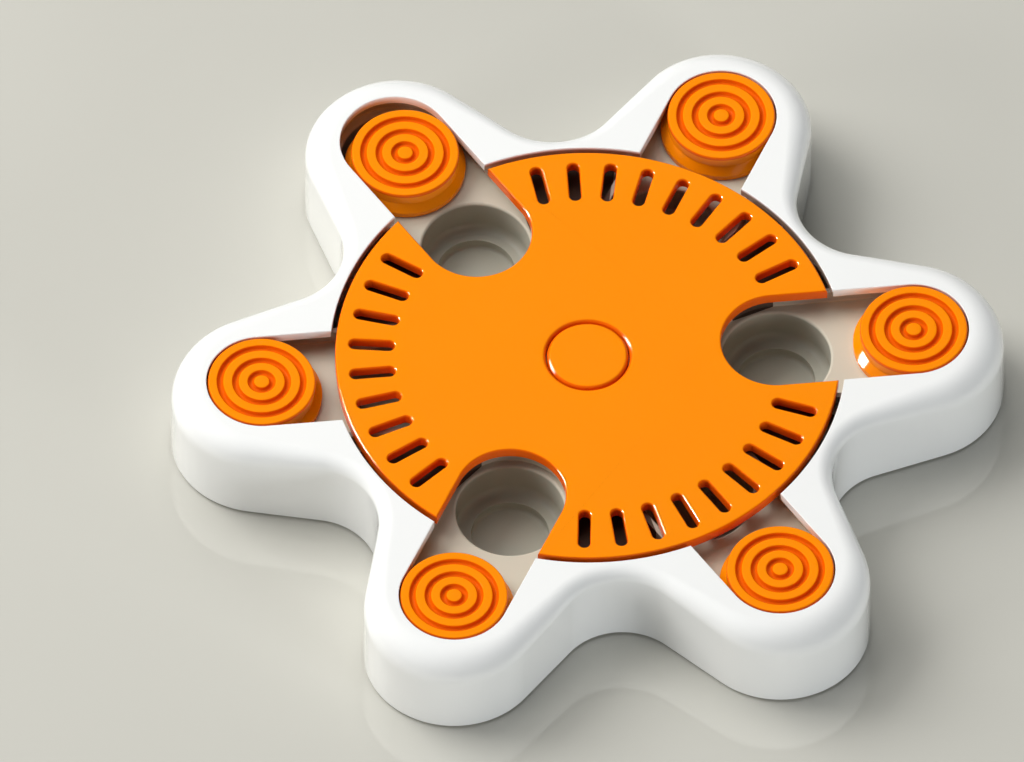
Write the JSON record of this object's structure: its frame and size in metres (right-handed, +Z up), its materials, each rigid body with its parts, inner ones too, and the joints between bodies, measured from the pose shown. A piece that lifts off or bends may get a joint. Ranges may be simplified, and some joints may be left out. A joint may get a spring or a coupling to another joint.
{
  "type": "pet puzzle feeder",
  "caption": "White star-shaped pet puzzle feeder with an orange notched disc that turns in the middle and an orange knob that slides along each arm over treat wells.",
  "frame": {"origin": "on the ground under the middle of the disc, between the feet", "axes": "+Z up along the disc's axis, +X along the first arm, which has a notch of the disc in front of it"},
  "size_m": [0.2978, 0.2664, 0.036],
  "materials": {
    "white_plastic": "gloss",
    "orange_plastic": "satin",
    "grey_plastic": "satin",
    "bearing_plastic": "satin",
    "rubber": "matte",
    "steel": "bright"
  },
  "bodies": {
    "body": {"top_shell": "white_plastic", "base_plate": "white_plastic", "tray_1": "grey_plastic", "tray_2": "grey_plastic", "tray_3": "grey_plastic", "tray_4": "grey_plastic", "tray_5": "grey_plastic", "tray_6": "grey_plastic", "foot_1": "rubber", "foot_2": "rubber", "foot_3": "rubber", "foot_4": "rubber", "foot_5": "rubber", "foot_6": "rubber", "case_screws": "steel", "thrust_washer": "bearing_plastic", "hub_cap": "orange_plastic", "pivot_screw": "steel"},
    "disc": {"disc": "orange_plastic", "disc_bush": "bearing_plastic"},
    "slider_1": {"slider_cap_1": "orange_plastic", "slider_base_1": "orange_plastic"},
    "slider_2": {"slider_cap_2": "orange_plastic", "slider_base_2": "orange_plastic"},
    "slider_3": {"slider_cap_3": "orange_plastic", "slider_base_3": "orange_plastic"},
    "slider_4": {"slider_cap_4": "orange_plastic", "slider_base_4": "orange_plastic"},
    "slider_5": {"slider_cap_5": "orange_plastic", "slider_base_5": "orange_plastic"},
    "slider_6": {"slider_cap_6": "orange_plastic", "slider_base_6": "orange_plastic"}
  },
  "joints": [
    {"name": "disc_turn", "type": "hinge", "parent": "body", "child": "disc", "pos_m": [0, 0, 0.0318], "axis": [0, 0, 1], "range_deg": [-360, 180]},
    {"name": "slider_1_slide", "type": "slide", "parent": "body", "child": "slider_1", "axis": [1, 0, 0], "range_m": [-0.0492, 0]},
    {"name": "slider_2_slide", "type": "slide", "parent": "body", "child": "slider_2", "axis": [0.5, 0.866, 0], "range_m": [-0.006, 0]},
    {"name": "slider_3_slide", "type": "slide", "parent": "body", "child": "slider_3", "axis": [-0.5, 0.866, 0], "range_m": [-0.0432, 0.006]},
    {"name": "slider_4_slide", "type": "slide", "parent": "body", "child": "slider_4", "axis": [-1, 0, 0], "range_m": [-0.006, 0]},
    {"name": "slider_5_slide", "type": "slide", "parent": "body", "child": "slider_5", "axis": [-0.5, -0.866, 0], "range_m": [-0.0492, 0]},
    {"name": "slider_6_slide", "type": "slide", "parent": "body", "child": "slider_6", "axis": [0.5, -0.866, 0], "range_m": [-0.006, 0]}
  ]
}
